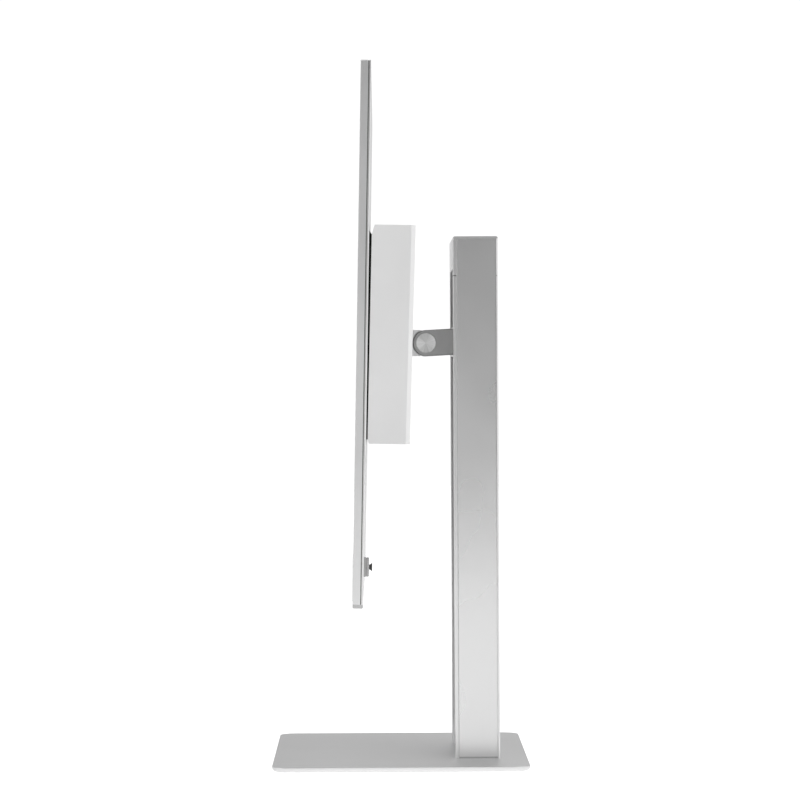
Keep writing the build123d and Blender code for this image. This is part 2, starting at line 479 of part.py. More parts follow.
# ================================================================ head: electronics housing
GASKET_HALF, GASKET_SIDE, GASKET_END = 145.0, 6.0, 4.0
GASKET_Z = (HOUSING_BOTTOM + 3.0, HOUSING_TOP - RIM_HEAD_CUT[1])
with BuildPart() as gasket:
    slab((-GASKET_HALF, GASKET_HALF), (PANEL_BACK, HOUSING_FRONT), GASKET_Z)
    slab((-GASKET_HALF + GASKET_SIDE, GASKET_HALF - GASKET_SIDE), (PANEL_BACK, HOUSING_FRONT),
         (GASKET_Z[0] + GASKET_END, GASKET_Z[1] - GASKET_END), mode=Mode.SUBTRACT)
finish(gasket, "gasket", head=True)

KNUCKLE_SCREW_SPOTS = [(x, PIVOT_Z + z) for x in (-15.0, 15.0) for z in (-6.0, 6.0)]
KNUCKLE_SCREW_REACH = 6.3            # how far the screws run past the housing's inner face
CORNER_FILL = 2.6                    # flat across the inner corners, behind the outer bevel
with BuildPart() as housing_wrap:
    with BuildSketch(Plane.YZ.offset(-HOUSING_HALF)):
        with BuildLine():
            Polyline((RIM_LOW + RIM_FOOT_CUT[0], HOUSING_BOTTOM),
                     (RIM_LOW, HOUSING_BOTTOM + RIM_FOOT_CUT[1]),
                     (RIM_HIGH, HOUSING_TOP - RIM_HEAD_CUT[1]),
                     (RIM_HIGH + RIM_HEAD_CUT[0], HOUSING_TOP),
                     (HOUSING_BACK_HIGH, HOUSING_TOP), (HOUSING_BACK_LOW, HOUSING_BOTTOM), close=True)
        make_face()
    extrude(amount=2 * HOUSING_HALF)
    rear_edges = housing_wrap.faces().sort_by(Axis.Y)[-1].edges()
    chamfer(rear_edges.filter_by(lambda edge: abs(edge.center().X) > HOUSING_HALF - 1), HOUSING_BEVEL)
    with BuildSketch(Plane.XY.offset(HOUSING_BOTTOM)) as cavity:
        with Locations((0, (2 * RIM_LOW + INNER_BACK) / 3)):
            Rectangle(2 * (HOUSING_HALF - HOUSING_WALL), 4 * (INNER_BACK - RIM_LOW) / 3)
        chamfer(vertices().sort_by(Axis.Y)[-2:], CORNER_FILL)
    extrude(cavity.sketch, amount=HOUSING_TOP - HOUSING_BOTTOM, mode=Mode.SUBTRACT)
    for x, z in KNUCKLE_SCREW_SPOTS:
        bar((x, INNER_BACK, z), (0, 1, 0), M4_HOLE + 0.1, HOUSING_BACK_HIGH - INNER_BACK,
            mode=Mode.SUBTRACT)
finish(housing_wrap, "housing_wrap", head=True)

PLATE_HALF, PLATE_BACK = HOUSING_HALF - HOUSING_WALL - 0.2, INNER_BACK - 0.1
LOUVRE_PITCH, LOUVRE_HALF = 12.0, 1.5
SKIRT_FRONT, SKIRT_THICK = CHASSIS_BACK + 0.8, 1.5


def housing_end(front, z):
    """A plate that closes the wrap's open top or bottom, with its rear corners cut to the wrap's."""
    slab((-PLATE_HALF, PLATE_HALF), (front, PLATE_BACK), z)
    chamfer(edges().filter_by(Axis.Z).sort_by(Axis.Y)[-2:], CORNER_FILL + 0.2)


with BuildPart() as housing_top:
    housing_end(SKIRT_FRONT, (HOUSING_TOP - 2.2, HOUSING_TOP - 0.3))
    slab((-PLATE_HALF, PLATE_HALF), (SKIRT_FRONT, SKIRT_FRONT + SKIRT_THICK),
         (GASKET_Z[1] - 1.0, HOUSING_TOP - 2.2))
    for step in range(-10, 11):
        middle = step * LOUVRE_PITCH
        slab((middle - LOUVRE_HALF, middle + LOUVRE_HALF), (SKIRT_FRONT + 5, PLATE_BACK - 6),
             (HOUSING_TOP - 3, HOUSING_TOP), mode=Mode.SUBTRACT)
finish(housing_top, "housing_top", head=True)

# Each socket: centre X, depth range, outer half width, length above the mouth.
MOUTH = HOUSING_BOTTOM + 0.3
SOCKETS = {
    "power": (-101.0, (-14.6, 5.4), 14.0, 20.0),
    "video_wide": (74.0, (BOARD_BACK, BOARD_BACK + 6.8), 7.6, 12.0),
    "video_tall": (94.0, (BOARD_BACK, BOARD_BACK + 6.8), 8.6, 12.0),
    "data_a": (114.0, (BOARD_BACK, BOARD_BACK + 7.4), 7.2, 14.0),
    "data_b": (131.0, (BOARD_BACK, BOARD_BACK + 7.4), 7.2, 14.0),
}


def socket_shell(key, wall):
    """A socket's open box, mouth down, with its contact tongue lying near the board side."""
    x, (front, back), half, length = SOCKETS[key]
    slab((x - half, x + half), (front, back), (MOUTH, MOUTH + length))
    slab((x - half + wall, x + half - wall), (front + wall, back - wall),
         (MOUTH, MOUTH + length - 2), mode=Mode.SUBTRACT)


with BuildPart() as housing_bottom:
    housing_end(HOUSING_FRONT, (HOUSING_BOTTOM + 0.3, HOUSING_BOTTOM + 2.2))
    for x, (front, back), half, length in SOCKETS.values():
        slab((x - half - 0.2, x + half + 0.2), (front - 0.2, back + 0.2),
             (HOUSING_BOTTOM, HOUSING_BOTTOM + 3), mode=Mode.SUBTRACT)
finish(housing_bottom, "housing_bottom", head=True)

with BuildPart() as power_inlet:
    socket_shell("power", 2.0)
    x, (front, back), half, length = SOCKETS["power"]
    for offset, depth in ((-7.0, -3.5), (0.0, 0.5), (7.0, -3.5)):
        blade_x, blade_y = x + offset, (front + back) / 2 + depth
        slab((blade_x - 1, blade_x + 1), (blade_y - 2, blade_y + 2), (MOUTH + 5, MOUTH + length - 1))
finish(power_inlet, "power_inlet", head=True)

with BuildPart() as video_ports:
    for key in ("video_wide", "video_tall"):
        socket_shell(key, 0.5)
        x, (front, back), half, length = SOCKETS[key]
        slab((x - half + 2.5, x + half - 2.5), (front + 0.7, front + 1.3),
             (MOUTH + 2, MOUTH + length - 1))
finish(video_ports, "video_ports", head=True)

with BuildPart() as data_ports:
    for key in ("data_a", "data_b"):
        socket_shell(key, 0.6)
        x, (front, back), half, length = SOCKETS[key]
        slab((x - half + 1.6, x + half - 1.6), (front + 0.7, front + 1.9),
             (MOUTH + 2, MOUTH + length - 1))
finish(data_ports, "data_ports", head=True)

CHASSIS_HALF = HOUSING_HALF - HOUSING_WALL - 0.6
with BuildPart() as chassis_plate:
    slab((-CHASSIS_HALF, CHASSIS_HALF), (HOUSING_FRONT, CHASSIS_BACK),
         (HOUSING_BOTTOM + 2.6, GASKET_Z[1]))
    slab((-CABLE_SLOT_HALF - 2, CABLE_SLOT_HALF + 2), (HOUSING_FRONT, CHASSIS_BACK),
         (CABLE_SLOT_Z[0] + 2, CABLE_SLOT_Z[1] + 8), mode=Mode.SUBTRACT)
    for x, z in CHASSIS_SCREW_SPOTS:
        bar((x, HOUSING_FRONT, z), (0, 1, 0), M3_HOLE, CHASSIS_THICK, mode=Mode.SUBTRACT)
finish(chassis_plate, "chassis_plate", head=True)

with BuildPart() as chassis_screws:
    for x, z in CHASSIS_SCREW_SPOTS:
        socket_screw((x, CHASSIS_BACK + 1.6, z), (0, -1, 0), M3_HEAD, 1.6, M3_SHANK,
                     CHASSIS_BACK - TRAY_FRONT)
finish(chassis_screws, "chassis_screws", head=True)

HINGE_Z = (288.5, 349.5)
HINGE_HALF, HINGE_THICK, HINGE_TAB = 45.0, 3.0, 12.0
with BuildPart() as hinge_bracket:
    slab((-HINGE_HALF, HINGE_HALF), (INNER_BACK - HINGE_THICK, INNER_BACK), HINGE_Z)
    for side in (-1, 1):
        slab(sorted((side * (HINGE_HALF - HINGE_THICK), side * HINGE_HALF)),
             (CHASSIS_BACK, INNER_BACK - HINGE_THICK), HINGE_Z)
        slab(sorted((side * HINGE_HALF, side * (HINGE_HALF + HINGE_TAB))),
             (CHASSIS_BACK, CHASSIS_BACK + 2.5), HINGE_Z)
    for x, z in KNUCKLE_SCREW_SPOTS:
        bar((x, INNER_BACK - HINGE_THICK, z), (0, 1, 0), M4_HOLE + 0.1, HINGE_THICK,
            mode=Mode.SUBTRACT)
finish(hinge_bracket, "hinge_bracket", head=True)

KNUCKLE_RADIUS, KNUCKLE_ROOT = ARM_RADIUS - 0.5, 9.9
SADDLE_HALF, SADDLE_BACK, SADDLE_CLEAR = 29.5, PIVOT_Y - 5.8, ARM_RADIUS + 0.5
root_low, root_high = PIVOT_Z - KNUCKLE_ROOT, PIVOT_Z + KNUCKLE_ROOT


def against_housing(half, *rear_points):
    """A block between two X limits that sits flat on the housing's leaning rear face."""
    with BuildSketch(Plane.YZ.offset(-half)) as profile:
        with BuildLine():
            Polyline((housing_back(root_high), root_high), (housing_back(root_low), root_low),
                     *rear_points, close=True)
        make_face()
    extrude(profile.sketch, amount=2 * half)


with BuildPart() as knuckle_block:
    against_housing(SADDLE_HALF, (SADDLE_BACK, root_low), (SADDLE_BACK, root_high))
    bar((-SADDLE_HALF, PIVOT_Y, PIVOT_Z), (1, 0, 0), SADDLE_CLEAR, 2 * SADDLE_HALF,
        mode=Mode.SUBTRACT)
    against_housing(KNUCKLE_HALF, (SADDLE_BACK, root_low), (PIVOT_Y, PIVOT_Z - KNUCKLE_RADIUS),
                    (PIVOT_Y, PIVOT_Z + KNUCKLE_RADIUS), (SADDLE_BACK, root_high))
    bar((-KNUCKLE_HALF, PIVOT_Y, PIVOT_Z), (1, 0, 0), KNUCKLE_RADIUS, 2 * KNUCKLE_HALF)
    bar((-KNUCKLE_HALF, PIVOT_Y, PIVOT_Z), (1, 0, 0), SHAFT_RADIUS + RUNNING_FIT,
        2 * KNUCKLE_HALF, mode=Mode.SUBTRACT)
    for x, z in KNUCKLE_SCREW_SPOTS:
        bar((x, INNER_BACK, z), (0, 1, 0), M4_HOLE, KNUCKLE_SCREW_REACH + 0.1, mode=Mode.SUBTRACT)
finish(knuckle_block, "knuckle_block", head=True)

with BuildPart() as knuckle_screws:
    for x, z in KNUCKLE_SCREW_SPOTS:
        socket_screw((x, INNER_BACK - HINGE_THICK - 3.0, z), (0, 1, 0), M4_HEAD, 3.0, M4_SHANK,
                     HINGE_THICK + KNUCKLE_SCREW_REACH)
finish(knuckle_screws, "knuckle_screws", head=True)

MAIN_X, POWER_X, TIMING_X = (60.0, 142.0), (-142.0, -60.0), (-48.0, 48.0)
MAIN_Z, POWER_Z, TIMING_Z = (250.0, 384.0), (268.0, 388.0), (257.0, 285.0)
STANDOFF_SPOTS = [(x + dx, z + dz) for x, z in ((101.0, 317.0), (-101.0, 328.0))
                  for dx in (-36, 36) for dz in (-54, 54)]
STANDOFF_SPOTS += [(x, 271.0) for x in (-40.0, 40.0)]

with BuildPart() as standoffs:
    for x, z in STANDOFF_SPOTS:
        bar((x, CHASSIS_BACK, z), (0, 1, 0), 3.0, BOARD_FRONT - CHASSIS_BACK)
finish(standoffs, "standoffs", head=True)

with BuildPart() as main_board:
    slab(MAIN_X, (BOARD_FRONT, BOARD_BACK), MAIN_Z)
    slab((88, 114), (BOARD_BACK, BOARD_BACK + 1.6), (306, 332))
    for x, z in ((72, 318), (72, 300), (128, 318)):
        slab((x - 5, x + 5), (BOARD_BACK, BOARD_BACK + 1.2), (z - 6, z + 6))
    for x, z in ((70, 350), (82, 350), (94, 350), (106, 350)):
        slab((x - 4, x + 4), (BOARD_BACK, BOARD_BACK + 4), (z - 4, z + 4))
    for x, z in ((122, 350), (134, 350), (122, 364), (134, 364)):
        bar((x, BOARD_BACK, z), (0, 1, 0), 4.0, 10.0)
    slab((66, 96), (BOARD_BACK, BOARD_BACK + 7), (372, 378))
finish(main_board, "main_board", head=True)

with BuildPart() as heat_sink:
    slab((81, 121), (BOARD_BACK + 1.6, BOARD_BACK + 3.6), (299, 339))
    for step in range(9):
        slab((81 + step * 4.8, 82.6 + step * 4.8), (BOARD_BACK + 3.6, BOARD_BACK + 14), (299, 339))
finish(heat_sink, "heat_sink", head=True)

with BuildPart() as power_board:
    slab(POWER_X, (BOARD_FRONT, BOARD_BACK), POWER_Z)
    slab((-124, -96), (BOARD_BACK, BOARD_BACK + 17), (320, 350))
    for x, z in ((-76, 300), (-76, 322)):
        bar((x, BOARD_BACK, z), (0, 1, 0), 9.0, 18.0)
    for x in (-132, -118, -104, -90, -76):
        bar((x, BOARD_BACK, 372), (0, 1, 0), 5.0, 14.0)
    slab((-136, -100), (BOARD_BACK, BOARD_BACK + 15), (296, 299))
    slab((-92, -88), (BOARD_BACK, BOARD_BACK + 16), (330, 360))
    slab((-132, -110), (BOARD_BACK, BOARD_BACK + 12), (274, 288))
finish(power_board, "power_board", head=True)

with BuildPart() as timing_board:
    slab(TIMING_X, (BOARD_FRONT, BOARD_BACK), TIMING_Z)
    slab((-8, 8), (BOARD_BACK, BOARD_BACK + 1.4), (263, 279))
    for x in (-30, 24):
        slab((x, x + 8), (BOARD_BACK, BOARD_BACK + 2), (265, 277))
finish(timing_board, "timing_board", head=True)

# ================================================================ head: joystick
JOY_Y = JOYSTICK_PIVOT_Y
BOSS_PROUD, NUB_PROUD = 3.7, 5.9


def joystick_point(dy=0.0, dx=0.0, dz=0.0):
    """A point given from the centre of the joystick's gimbal."""
    return (JOYSTICK_X + dx, JOY_Y + dy, JOYSTICK_Z + dz)


with BuildPart() as joystick_boss:
    bar((JOYSTICK_X, PANEL_BACK, JOYSTICK_Z), (0, 1, 0), 6.85, BOSS_PROUD)
    fillet(joystick_boss.faces().sort_by(Axis.Y)[-1].edges(), 0.9)
    bar((JOYSTICK_X, PANEL_BACK, JOYSTICK_Z), (0, 1, 0), 3.6, BOSS_PROUD, mode=Mode.SUBTRACT)
    bar((JOYSTICK_X, PANEL_BACK + 1.7, JOYSTICK_Z), (0, 1, 0), 7.0, 0.3, mode=Mode.SUBTRACT)
    bar((JOYSTICK_X, PANEL_BACK + 1.6, JOYSTICK_Z), (0, 1, 0), 6.5, 0.5)
    bar((JOYSTICK_X, PANEL_BACK + 1.6, JOYSTICK_Z), (0, 1, 0), 3.6, 0.5, mode=Mode.SUBTRACT)
finish(joystick_boss, "joystick_boss", head=True)

SWITCH_FLOOR = CELL_BACK + 1.2
with BuildPart() as joystick_switch:
    slab((JOYSTICK_X - 16, JOYSTICK_X + 16), (SWITCH_FLOOR - 1.0, SWITCH_FLOOR),
         (JOYSTICK_Z - 10, JOYSTICK_Z + 8))
    slab((JOYSTICK_X - 5.6, JOYSTICK_X + 5.6), (SWITCH_FLOOR, COVER_INNER - 0.1),
         (JOYSTICK_Z - 5.6, JOYSTICK_Z + 5.6))
    slab((JOYSTICK_X - 5.0, JOYSTICK_X + 5.0), (SWITCH_FLOOR, COVER_INNER),
         (JOYSTICK_Z - 5.0, JOYSTICK_Z + 5.0), mode=Mode.SUBTRACT)
finish(joystick_switch, "joystick_switch", head=True)

with BuildPart() as joystick_plunger:
    slab((JOYSTICK_X - 4.7, JOYSTICK_X + 4.7), (JOY_Y - 1.0, JOY_Y + 1.0),
         (JOYSTICK_Z - 4.7, JOYSTICK_Z + 4.7))
    bar(joystick_point(-1.0), (0, 1, 0), 3.9, 2.0, mode=Mode.SUBTRACT)
    bar(joystick_point(dx=-4.7), (1, 0, 0), 0.5, 9.4, mode=Mode.SUBTRACT)
finish(joystick_plunger, "joystick_plunger", head=True)

with BuildPart() as joystick_gimbal:
    bar(joystick_point(-0.5), (0, 1, 0), 3.4, 1.0)
    bar(joystick_point(dx=-4.5), (1, 0, 0), 0.45, 9.0)
    bar(joystick_point(-0.8), (0, 1, 0), 2.3, 1.6, mode=Mode.SUBTRACT)
    bar(joystick_point(dz=-4.0), (0, 0, 1), 0.4, 8.0, mode=Mode.SUBTRACT)
finish(joystick_gimbal, "joystick_gimbal", head=True)

NECK_OUT = PANEL_BACK + BOSS_PROUD - 0.5 - JOY_Y
NUB_OUT = PANEL_BACK + NUB_PROUD - JOY_Y
DISH = 0.6
dish_sphere = (2.8 ** 2 + DISH ** 2) / (2 * DISH)
dish_rise = dish_sphere - math.sqrt(dish_sphere ** 2 - 1.4 ** 2)
with BuildPart() as joystick_cap:
    with BuildSketch(Plane.XY):
        with BuildLine():
            Polyline((0, -1.0), (1.5, -1.0), (1.5, NECK_OUT))
            ThreePointArc((1.5, NECK_OUT), (2.0, (NECK_OUT + NUB_OUT) / 2), (3.0, NUB_OUT - 0.25))
            Line((3.0, NUB_OUT - 0.25), (2.8, NUB_OUT))
            ThreePointArc((2.8, NUB_OUT), (1.4, NUB_OUT - DISH + dish_rise), (0, NUB_OUT - DISH))
            Line((0, NUB_OUT - DISH), (0, -1.0))
        make_face()
    revolve(axis=Axis.Y)
    bar((0, 0, -3.2), (0, 0, 1), 0.35, 6.4)
joystick_cap.part = joystick_cap.part.moved(Location(joystick_point()))
finish(joystick_cap, "joystick_cap", head=True)
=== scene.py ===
"""Looks for the desktop monitor: materials, small fittings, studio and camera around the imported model."""

import json
import math

import bmesh
import bpy
from mathutils import Matrix, Vector


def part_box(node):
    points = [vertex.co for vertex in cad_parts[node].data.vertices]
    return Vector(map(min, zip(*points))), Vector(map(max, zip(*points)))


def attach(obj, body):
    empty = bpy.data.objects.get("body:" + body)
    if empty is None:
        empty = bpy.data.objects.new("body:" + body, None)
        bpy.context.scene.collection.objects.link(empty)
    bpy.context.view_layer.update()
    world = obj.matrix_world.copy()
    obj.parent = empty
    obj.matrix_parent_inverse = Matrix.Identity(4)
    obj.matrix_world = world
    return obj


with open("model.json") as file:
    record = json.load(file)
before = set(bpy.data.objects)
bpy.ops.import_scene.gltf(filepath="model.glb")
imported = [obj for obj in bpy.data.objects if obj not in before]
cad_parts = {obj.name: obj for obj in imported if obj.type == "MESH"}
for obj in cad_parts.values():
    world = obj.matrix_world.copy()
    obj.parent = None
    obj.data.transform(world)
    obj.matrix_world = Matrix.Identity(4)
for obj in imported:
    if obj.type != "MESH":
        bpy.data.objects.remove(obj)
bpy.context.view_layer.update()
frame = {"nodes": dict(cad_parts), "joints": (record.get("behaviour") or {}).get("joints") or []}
NODES = frame["nodes"]

# ---------------------------------------------------------------- places taken from the frame
MM = 0.001
HINGE = next(joint for joint in frame["joints"] if joint["name"] == "head_tilt")
PIVOT = Vector(HINGE["pos_m"])
HEAD_LEAN = math.radians(1.17)       # the head's backward lean at rest


# ---------------------------------------------------------------- material helpers
class Shader:
    """A small wrapper that builds one Principled material with procedural detail."""

    TEXTURE_RANGE = (0.3, 0.7)       # most of a noise texture's values lie between these

    def __init__(self, name, **sockets):
        self.material = bpy.data.materials.new(name)
        self.material.use_nodes = True
        self.tree = self.material.node_tree
        self.bsdf = self.tree.nodes["Principled BSDF"]
        for socket, value in sockets.items():
            self.set(socket.replace("_", " "), value)
        self.coords = self.add("ShaderNodeTexCoord")

    def set(self, socket, value):
        """Sets a constant on the shader's own socket."""
        if isinstance(value, tuple):
            value = (*value, 1.0)[:4]
        self.bsdf.inputs[socket].default_value = value

    def add(self, kind, **properties):
        """Adds a node, with values for its input sockets or its own settings."""
        node = self.tree.nodes.new(kind)
        for key, value in properties.items():
            if key in node.inputs:
                node.inputs[key].default_value = value
            else:
                setattr(node, key, value)
        return node

    def link(self, source, target):
        self.tree.links.new(source, target)

    def noise(self, scale, detail=2.0, roughness=0.5, stretch=(1, 1, 1)):
        """Noise in metres of the object's own space, stretched along chosen axes."""
        mapping = self.add("ShaderNodeMapping", Scale=stretch)
        self.link(self.coords.outputs["Object"], mapping.inputs["Vector"])
        texture = self.add("ShaderNodeTexNoise", Scale=scale, Detail=detail, Roughness=roughness)
        self.link(mapping.outputs["Vector"], texture.inputs["Vector"])
        return texture.outputs["Fac"]

    def remap(self, value, old, new):
        """Maps a value from one range to another."""
        node = self.add("ShaderNodeMapRange")
        for socket, limit in zip(("From Min", "From Max", "To Min", "To Max"), (*old, *new)):
            node.inputs[socket].default_value = limit
        self.link(value, node.inputs["Value"])
        return node.outputs["Result"]

    def compute(self, operation, first, second):
        """Adds a math node. The second value is a socket or a number."""
        node = self.add("ShaderNodeMath", operation=operation)
        self.link(first, node.inputs[0])
        if isinstance(second, bpy.types.NodeSocket):
            self.link(second, node.inputs[1])
        else:
            node.inputs[1].default_value = second
        return node.outputs[0]

    def tint(self, value, dark, light):
        """Blends two colours by a 0..1 value and feeds the base colour."""
        ramp = self.add("ShaderNodeValToRGB")
        for stop, place, colour in zip(ramp.color_ramp.elements, self.TEXTURE_RANGE, (dark, light)):
            stop.position = place
            stop.color = (*colour, 1)
        self.link(value, ramp.inputs["Fac"])
        self.link(ramp.outputs["Color"], self.bsdf.inputs["Base Color"])

    def vary_roughness(self, value, low, high):
        """Varies the roughness between two values."""
        self.link(self.remap(value, self.TEXTURE_RANGE, (low, high)), self.bsdf.inputs["Roughness"])

    def bump(self, height, strength, distance):
        node = self.add("ShaderNodeBump", Strength=strength, Distance=distance)
        self.link(height, node.inputs["Height"])
        self.link(node.outputs["Normal"], self.bsdf.inputs["Normal"])


def grey(level):
    return level, level, level


def shade(colour, factor):
    return tuple(min(1.0, channel * factor) for channel in colour)


def along(axis, ratio):
    """A scale for noise that draws it out along one axis."""
    return tuple(ratio if name == axis else 1 for name in "XYZ")


# ---------------------------------------------------------------- kinds of material
def blasted_metal(name, colour, roughness, metallic=1.0):
    """Bead-blasted, clear anodised metal: a fine even grain and very soft tone drift."""
    s = Shader(name, Metallic=metallic)
    drift = s.noise(9.0, detail=3.0)
    s.tint(drift, shade(colour, 0.975), shade(colour, 1.02))
    s.vary_roughness(drift, roughness - 0.025, roughness + 0.025)
    s.bump(s.noise(3800.0, roughness=0.6), strength=0.25, distance=0.03 * MM)
    return s.material


def moulded_plastic(name, colour, roughness=0.55):
    """Moulded plastic with a fine spark-eroded texture."""
    s = Shader(name, Metallic=0.0)
    drift = s.noise(14.0, detail=3.0)
    s.tint(drift, shade(colour, 0.92), shade(colour, 1.08))
    s.vary_roughness(drift, roughness - 0.05, roughness + 0.05)
    s.bump(s.noise(2600.0, detail=3.0, roughness=0.6), strength=0.35, distance=0.06 * MM)
    return s.material


def foam(name, colour):
    """Closed-cell foam strip."""
    s = Shader(name, Metallic=0.0, Roughness=0.95)
    s.tint(s.noise(900.0, detail=4.0), shade(colour, 0.6), shade(colour, 1.4))
    s.bump(s.noise(1500.0, detail=4.0, roughness=0.7), strength=0.6, distance=0.2 * MM)
    return s.material


def machined_steel(name, colour, roughness, stretch):
    """Drawn or ground metal with fine scratches along one axis."""
    s = Shader(name, Metallic=1.0)
    lines = s.noise(260.0, detail=5.0, roughness=0.65, stretch=stretch)
    s.tint(lines, shade(colour, 0.9), shade(colour, 1.08))
    s.vary_roughness(lines, roughness - 0.05, roughness + 0.08)
    s.bump(lines, strength=0.12, distance=0.04 * MM)
    return s.material


def spun_metal(name, colour):
    """A face-turned disc: concentric tool marks round the hinge axis, whose real reflections are strengthened
    by a cross-shaped highlight painted into its colour.
    """
    s = Shader(name, Metallic=0.36, Roughness=0.22, Anisotropic=0.97)
    shift = s.add("ShaderNodeVectorMath", operation="SUBTRACT")
    s.link(s.coords.outputs["Object"], shift.inputs[0])
    shift.inputs[1].default_value = (0, PIVOT.y, PIVOT.z)
    flat = s.add("ShaderNodeVectorMath", operation="MULTIPLY")
    s.link(shift.outputs["Vector"], flat.inputs[0])
    flat.inputs[1].default_value = (0, 1, 1)
    radius = s.add("ShaderNodeVectorMath", operation="LENGTH")
    s.link(flat.outputs["Vector"], radius.inputs[0])
    spoke = s.add("ShaderNodeVectorMath", operation="NORMALIZE")
    s.link(flat.outputs["Vector"], spoke.inputs[0])

    # A highlight painted into the base colour: strongest across the disc, towards its front and back, and
    # broken up along its spokes.
    across = s.add("ShaderNodeSeparateXYZ")
    s.link(spoke.outputs["Vector"], across.inputs["Vector"])
    wedge = s.compute("POWER", across.outputs["Y"], 2.0)
    highlight_streaks = s.add("ShaderNodeTexNoise", Scale=3.2, Detail=4.0)
    s.link(spoke.outputs["Vector"], highlight_streaks.inputs["Vector"])
    painted_highlight = s.add("ShaderNodeMath", operation="MULTIPLY_ADD")
    s.link(wedge, painted_highlight.inputs[0])
    painted_highlight.inputs[1].default_value = 0.22
    s.link(s.remap(highlight_streaks.outputs["Fac"], s.TEXTURE_RANGE, (0.18, 0.62)), painted_highlight.inputs[2])
    # Painted highlight: the disc's base colour is lighter where the highlight is painted and darker
    # elsewhere.
    s.tint(painted_highlight.outputs[0], shade(colour, 0.78), shade(colour, 1.15))

    rings = s.add("ShaderNodeTexNoise", noise_dimensions="1D", Scale=5200.0, Detail=3.0)
    s.link(radius.outputs["Value"], rings.inputs["W"])
    s.bump(rings.outputs["Fac"], strength=0.12, distance=0.02 * MM)
    tangent = s.add("ShaderNodeTangent", direction_type="RADIAL", axis="X")
    s.link(tangent.outputs["Tangent"], s.bsdf.inputs["Tangent"])
    return s.material


def screen_glass(name):
    """Anti-glare screen: a black mask round a slightly lighter, faintly hazed image area."""
    s = Shader(name, Metallic=0.0, IOR=1.5, Specular_IOR_Level=0.4)
    low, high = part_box("lcd_cell")
    border = 2.4 * MM
    border_below = 0.6 * border
    split = s.add("ShaderNodeSeparateXYZ")
    s.link(s.coords.outputs["Object"], split.inputs["Vector"])

    def inside(socket, lowest, highest):
        above = s.compute("GREATER_THAN", socket, lowest)
        below = s.compute("LESS_THAN", socket, highest)
        return s.compute("MULTIPLY", above, below)

    image_area = s.compute("MULTIPLY", inside(split.outputs["X"], low.x + border, high.x - border),
                           inside(split.outputs["Z"], low.z + border_below, high.z - border))
    mix = s.add("ShaderNodeMix", data_type="RGBA")
    mask_colour, image_colour, mixed = mix.inputs[6], mix.inputs[7], mix.outputs[2]    # its colour sockets
    mask_colour.default_value = (0.004, 0.004, 0.005, 1)
    image_colour.default_value = (0.016, 0.017, 0.020, 1)
    s.link(image_area, mix.inputs[0])
    s.link(mixed, s.bsdf.inputs["Base Color"])
    haze = s.noise(1400.0)
    s.vary_roughness(haze, 0.24, 0.32)
    s.bump(haze, strength=0.05, distance=0.02 * MM)
    return s.material


def circuit_board(name):
    """Green solder mask with a grid of paler copper tracks showing through."""
    s = Shader(name, Metallic=0.0, Roughness=0.35)
    bricks = s.add("ShaderNodeTexBrick")
    bricks.inputs["Scale"].default_value = 160.0
    bricks.inputs["Mortar Size"].default_value = 0.012
    bricks.inputs["Color1"].default_value = (0.012, 0.075, 0.035, 1)
    bricks.inputs["Color2"].default_value = (0.016, 0.092, 0.042, 1)
    bricks.inputs["Mortar"].default_value = (0.10, 0.22, 0.10, 1)
    upright_grid = s.add("ShaderNodeMapping", Rotation=(math.pi / 2, 0, 0))
    s.link(s.coords.outputs["Object"], upright_grid.inputs["Vector"])
    s.link(upright_grid.outputs["Vector"], bricks.inputs["Vector"])
    s.link(bricks.outputs["Color"], s.bsdf.inputs["Base Color"])
    s.bump(bricks.outputs["Fac"], strength=0.2, distance=0.05 * MM)
    return s.material


def clear_sheet(name, colour, roughness):
    """Acrylic: smooth and partly see-through."""
    s = Shader(name, Metallic=0.0, Transmission_Weight=0.6, IOR=1.49)
    waves = s.noise(30.0)
    s.tint(waves, shade(colour, 0.96), colour)
    s.vary_roughness(waves, roughness, roughness + 0.05)
    return s.material


def plain_film(name, colour):
    """Thin plastic film with faint flecks."""
    s = Shader(name, Metallic=0.0)
    fleck = s.noise(600.0, detail=3.0)
    s.tint(fleck, shade(colour, 0.95), colour)
    s.vary_roughness(fleck, 0.5, 0.65)
    return s.material


# ---------------------------------------------------------------- materials of the CAD nodes
def dress(material, *names):
    """Puts one material on CAD nodes."""
    for name in names:
        mesh = NODES[name].data
        mesh.materials.clear()
        mesh.materials.append(material)


# Visible metal.
dress(blasted_metal("column_metal", grey(0.82), 0.28), "column_side_left", "column_side_right")
dress(blasted_metal("rail_metal", grey(0.84), 0.30), "column_frame", "column_cap", "carriage_face")
dress(blasted_metal("panel_metal", grey(0.87), 0.38), "panel_frame", "chin_strip")
dress(blasted_metal("cover_metal", grey(0.86), 0.32), "rear_cover")
dress(blasted_metal("housing_metal", grey(0.90), 0.50, metallic=0.2), "housing_wrap")
dress(blasted_metal("base_metal", grey(0.87), 0.50), "base_plate")
dress(blasted_metal("arm_metal", grey(0.45), 0.45), "tilt_arm", "carriage_block", "heat_sink")
dress(blasted_metal("knuckle_metal", grey(0.86), 0.42), "knuckle_block")
dress(spun_metal("spun_metal", (0.96, 0.97, 0.96)), "pivot_caps")

# Screen, plastic, foam and rubber.
dress(screen_glass("screen_glass"), "lcd_cell")
dress(foam("gasket_foam", grey(0.02)), "gasket")
dress(foam("foot_rubber", grey(0.03)), "base_feet", "stop_collars")
dress(moulded_plastic("black_plastic", (0.025, 0.025, 0.026)), "housing_top", "housing_bottom",
      "power_inlet", "joystick_switch", "joystick_plunger", "joystick_gimbal", "gas_spring_piston")
dress(moulded_plastic("boss_plastic", grey(0.44), 0.5), "joystick_boss")
dress(moulded_plastic("nub_plastic", grey(0.12), 0.45), "joystick_cap")
dress(moulded_plastic("trim_plastic", grey(0.52), 0.5), "bottom_trim")
dress(moulded_plastic("bush_plastic", (0.75, 0.75, 0.70), 0.4), "slide_bushes")

